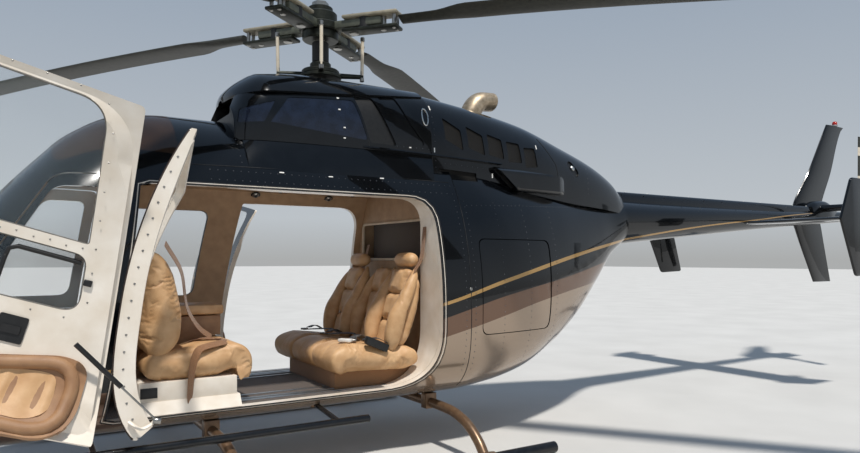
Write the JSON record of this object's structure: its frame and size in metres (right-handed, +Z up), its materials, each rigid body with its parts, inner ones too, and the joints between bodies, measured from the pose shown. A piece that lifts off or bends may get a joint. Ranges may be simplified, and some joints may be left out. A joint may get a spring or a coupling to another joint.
{
  "type": "light single-turbine helicopter",
  "caption": "Light turbine helicopter on skids, with side doors folded open, a leather passenger cabin, a main rotor over an engine cowling, and a tail rotor on a slim boom.",
  "frame": {"origin": "on the ground, at the middle of the whole outline as seen from above, rotor blades and tail fin included", "axes": "+X aft along the fuselage, +Y to starboard, +Z up"},
  "size_m": [11.9232, 8.6266, 3.19],
  "materials": {
    "black_paint": "gloss metallic",
    "cream_paint": "satin",
    "beige_metal": "satin metallic",
    "bronze_metal": "satin metallic",
    "dark_metal": "satin",
    "blade_grey": "matt",
    "leather": "smooth",
    "carpet": "short pile",
    "tinted_glass": "tinted",
    "clear_glass": "clear",
    "black_plastic": "satin",
    "steel": "polished rod",
    "red_lens": "clear red"
  },
  "bodies": {
    "airframe": {"cabin_shell": "black_paint", "windshield_left": "tinted_glass", "windshield_right": "tinted_glass", "chin_window_left": "tinted_glass", "chin_window_right": "tinted_glass", "roof_window_left": "tinted_glass", "roof_window_right": "tinted_glass", "side_window_right": "tinted_glass", "cabin_floor": "carpet", "aft_fuselage": "black_paint", "transmission_fairing": "black_paint", "engine_cowling": "black_paint", "engine_block": "dark_metal", "gearbox_case": "dark_metal", "exhaust_stack": "beige_metal", "tail_boom": "black_paint", "stabilizer": "black_paint", "end_plate_left": "black_paint", "end_plate_right": "black_paint", "shaft_cover": "black_paint", "tail_gearbox": "black_paint", "vertical_fin": "black_paint", "beacon": "red_lens", "cross_tube_front": "bronze_metal", "cross_tube_rear": "bronze_metal", "skid_left": "dark_metal", "skid_right": "dark_metal", "step_left": "dark_metal", "step_right": "dark_metal", "crew_seat_left": "leather", "crew_seat_right": "leather", "instrument_console": "black_plastic", "mid_seat_base": "cream_paint", "mid_seat_left": "leather", "mid_seat_right": "leather", "mid_console": "leather", "bench_base": "cream_paint", "bench_cushion": "leather", "bench_back": "leather"},
    "main_rotor": {"rotor_mast": "dark_metal", "rotor_hub": "dark_metal", "main_blade_1": "blade_grey", "main_blade_2": "blade_grey", "main_blade_3": "blade_grey", "main_blade_4": "blade_grey"},
    "tail_rotor": {"tail_rotor": "blade_grey"},
    "crew_door_left": {"crew_door_left": "black_paint", "crew_window_left": "clear_glass"},
    "crew_door_right": {"crew_door_right": "black_paint", "crew_window_right": "clear_glass"},
    "litter_door": {"litter_door": "cream_paint", "litter_window": "clear_glass"},
    "passenger_door_left": {"passenger_door_left": "cream_paint", "passenger_window_left": "clear_glass"},
    "passenger_door_right": {"passenger_door_right": "cream_paint", "passenger_window_right": "clear_glass"},
    "baggage_door": {"baggage_door": "black_paint"},
    "strut_barrel": {"strut_barrel": "black_plastic"},
    "strut_rod": {"strut_rod": "steel"}
  },
  "joints": [
    {"name": "main_rotor_spin", "type": "hinge", "parent": "airframe", "child": "main_rotor", "pos_m": [-1.64836, 0, 3], "axis": [0, 0, 1], "continuous": true},
    {"name": "tail_rotor_spin", "type": "hinge", "parent": "airframe", "child": "tail_rotor", "pos_m": [5.03164, -0.5, 1.96], "axis": [0, 1, 0], "continuous": true},
    {"name": "crew_door_left_hinge", "type": "hinge", "parent": "airframe", "child": "crew_door_left", "pos_m": [-3.85336, -0.672, 0.83], "axis": [0, 0, -1], "range_deg": [0, 75]},
    {"name": "crew_door_right_hinge", "type": "hinge", "parent": "airframe", "child": "crew_door_right", "pos_m": [-3.85336, 0.672, 0.83], "axis": [0, 0, 1], "range_deg": [0, 75]},
    {"name": "litter_door_hinge", "type": "hinge", "parent": "airframe", "child": "litter_door", "pos_m": [-3.06836, -0.751, 1], "axis": [-0.1483, 0, -0.9889], "range_deg": [-101, 0]},
    {"name": "passenger_door_left_hinge", "type": "hinge", "parent": "litter_door", "child": "passenger_door_left", "pos_m": [-3.21601, -1.62178, 1.1567], "axis": [-0.1483, 0, -0.9889], "range_deg": [-88, 0]},
    {"name": "passenger_door_right_hinge", "type": "hinge", "parent": "airframe", "child": "passenger_door_right", "pos_m": [-2.16836, 0.751, 1], "axis": [0.1483, 0, 0.9889], "range_deg": [-90, 0]},
    {"name": "baggage_door_hinge", "type": "hinge", "parent": "airframe", "child": "baggage_door", "pos_m": [-0.73336, -0.745, 1.135], "axis": [0, 0, -1], "range_deg": [0, 80]},
    {"name": "strut_pivot", "type": "hinge", "parent": "passenger_door_left", "child": "strut_barrel", "pos_m": [-3.37347, -1.72293, 1.01612], "axis": [-0.3264, 0.8925, -0.3113], "range_deg": [0, 46.9]},
    {"name": "strut_slide", "type": "slide", "parent": "strut_barrel", "child": "strut_rod", "axis": [0.6631, -0.0185, -0.7483], "range_m": [-0.13733, 0]}
  ],
  "couplings": [
    {"joint": "strut_pivot", "follows": "passenger_door_left_hinge", "ratio": -0.52728},
    {"joint": "strut_slide", "follows": "passenger_door_left_hinge", "m_per_rad": 0.088764}
  ]
}
